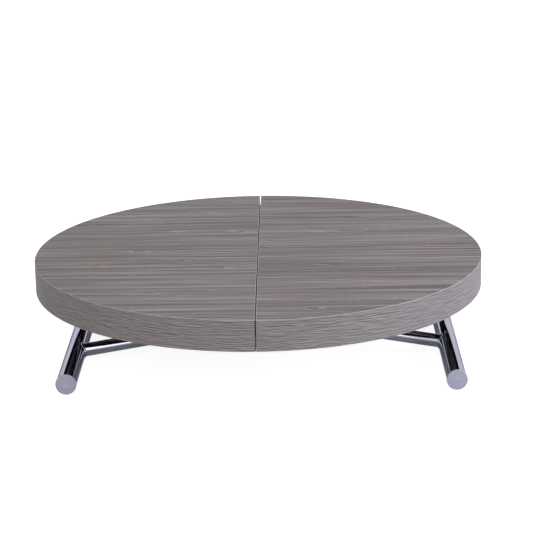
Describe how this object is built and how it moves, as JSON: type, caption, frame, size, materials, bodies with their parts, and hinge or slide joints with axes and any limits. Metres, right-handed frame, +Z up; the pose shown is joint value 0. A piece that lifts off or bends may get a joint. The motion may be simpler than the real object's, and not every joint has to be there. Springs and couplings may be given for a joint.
{
  "type": "extendable coffee table",
  "caption": "Round low table whose two half tops slide apart over a folded leaf, on a crossed tube frame that lifts it to dining height.",
  "frame": {"origin": "on the floor, under the centre of the round top", "axes": "+Z up, X across the seam towards the right half, Y along the seam away from the picture's viewer"},
  "size_m": [1.2, 1.2, 0.24],
  "materials": {
    "oak_melamine": "embossed grey-brown oak melamine",
    "edging": "wood-grain ABS edging",
    "raw_board": "raw wood board",
    "chrome_tube": "polished chrome",
    "satin_cap": "satin silver",
    "black_steel": "black powder coat",
    "zinc_steel": "zinc-plated",
    "nylon": "moulded nylon",
    "hardwood": "beech"
  },
  "bodies": {
    "left_glides": {"left_floor_glides": "nylon"},
    "outer_frame": {"left_foot_tube": "chrome_tube", "left_foot_caps": "satin_cap", "outer_leg_tubes": "chrome_tube", "outer_leg_eyes": "zinc_steel", "outer_cross_tube": "chrome_tube", "centre_pivot_pins": "zinc_steel", "centre_pivot_washers": "nylon"},
    "inner_frame": {"right_foot_tube": "chrome_tube", "right_foot_caps": "satin_cap", "inner_leg_tubes": "chrome_tube", "inner_leg_eyes": "zinc_steel", "inner_cross_tube": "chrome_tube"},
    "right_glides": {"right_floor_glides": "nylon"},
    "platform": {"side_rails": "black_steel", "end_rails": "black_steel", "corner_rails": "black_steel", "rail_ties": "black_steel", "roller_channels": "black_steel", "pivot_forks": "black_steel", "upper_pivot_pins": "zinc_steel", "slide_fixed": "zinc_steel", "pinion_bracket": "black_steel", "pinion_post": "zinc_steel", "leaf_supports": "black_steel", "leaf_lower_panel": "oak_melamine", "leaf_upper_panel": "oak_melamine", "leaf_hinges": "zinc_steel"},
    "pinion": {"pinion_gear": "nylon"},
    "left_half": {"left_top_panel": "oak_melamine", "left_apron": "raw_board", "left_edge_band": "edging", "left_seam_band": "edging", "left_battens": "hardwood", "left_slide_moving": "zinc_steel", "left_rack": "zinc_steel", "left_rack_mount": "hardwood", "alignment_dowels": "hardwood", "seam_strips": "nylon"},
    "right_half": {"right_top_panel": "oak_melamine", "right_apron": "raw_board", "right_edge_band": "edging", "right_seam_band": "edging", "right_battens": "hardwood", "right_slide_moving": "zinc_steel", "right_rack": "zinc_steel", "right_rack_mount": "hardwood"},
    "left_middle_slides": {"left_slide_middle": "zinc_steel"},
    "right_middle_slides": {"right_slide_middle": "zinc_steel"},
    "roller_set": {"roller_axle": "zinc_steel", "rollers": "nylon"},
    "gas_cylinder_pair": {"gas_cylinders": "black_steel"},
    "gas_rod_pair": {"gas_rods": "zinc_steel"}
  },
  "joints": [
    {"name": "lift", "type": "hinge", "parent": "left_glides", "child": "outer_frame", "pos_m": [-0.47976, 0, 0.0288], "axis": [0, -1, 0], "range_deg": [0, 33.2]},
    {"name": "top_level", "type": "hinge", "parent": "outer_frame", "child": "platform", "pos_m": [0.49976, 0, 0.195], "axis": [0, -1, 0], "range_deg": [-33.7, 0.5]},
    {"name": "scissor", "type": "hinge", "parent": "outer_frame", "child": "inner_frame", "pos_m": [0.01, 0, 0.1119], "axis": [0, -1, 0], "range_deg": [-66.9, 0.5]},
    {"name": "right_foot", "type": "hinge", "parent": "inner_frame", "child": "right_glides", "pos_m": [0.49976, 0, 0.0288], "axis": [0, -1, 0], "range_deg": [-0.5, 33.7]},
    {"name": "cylinder_eyes", "type": "hinge", "parent": "inner_frame", "child": "gas_cylinder_pair", "pos_m": [-0.23648, 0, 0.15372], "axis": [0, -1, 0], "range_deg": [-0.5, 33.7]},
    {"name": "rod_eyes", "type": "hinge", "parent": "outer_frame", "child": "gas_rod_pair", "pos_m": [0.25648, 0, 0.15372], "axis": [0, -1, 0], "range_deg": [-33.7, 0.5]},
    {"name": "roller_spin", "type": "hinge", "parent": "inner_frame", "child": "roller_set", "pos_m": [-0.47976, 0, 0.195], "axis": [0, 1, 0], "continuous": true},
    {"name": "extend", "type": "slide", "parent": "platform", "child": "left_half", "axis": [-1, 0, 0], "range_m": [0, 0.185]},
    {"name": "right_half_slide", "type": "slide", "parent": "platform", "child": "right_half", "axis": [1, 0, 0], "range_m": [-0.001, 0.186]},
    {"name": "left_middle_travel", "type": "slide", "parent": "platform", "child": "left_middle_slides", "axis": [-1, 0, 0], "range_m": [-0.001, 0.0935]},
    {"name": "right_middle_travel", "type": "slide", "parent": "platform", "child": "right_middle_slides", "axis": [1, 0, 0], "range_m": [-0.001, 0.0935]},
    {"name": "pinion_spin", "type": "hinge", "parent": "platform", "child": "pinion", "pos_m": [0, -0.40009, 0.17], "axis": [0, 0, 1], "range_deg": [-5, 535]}
  ],
  "couplings": [
    {"joint": "top_level", "follows": "lift", "ratio": -1},
    {"joint": "scissor", "follows": "lift", "ratio": -2},
    {"joint": "right_foot", "follows": "lift", "ratio": 1},
    {"joint": "cylinder_eyes", "follows": "lift", "ratio": 1},
    {"joint": "rod_eyes", "follows": "lift", "ratio": -1},
    {"joint": "right_half_slide", "follows": "extend", "ratio": 1},
    {"joint": "left_middle_travel", "follows": "extend", "ratio": 0.5},
    {"joint": "right_middle_travel", "follows": "extend", "ratio": 0.5},
    {"joint": "pinion_spin", "follows": "extend", "rad_per_m": 50}
  ]
}
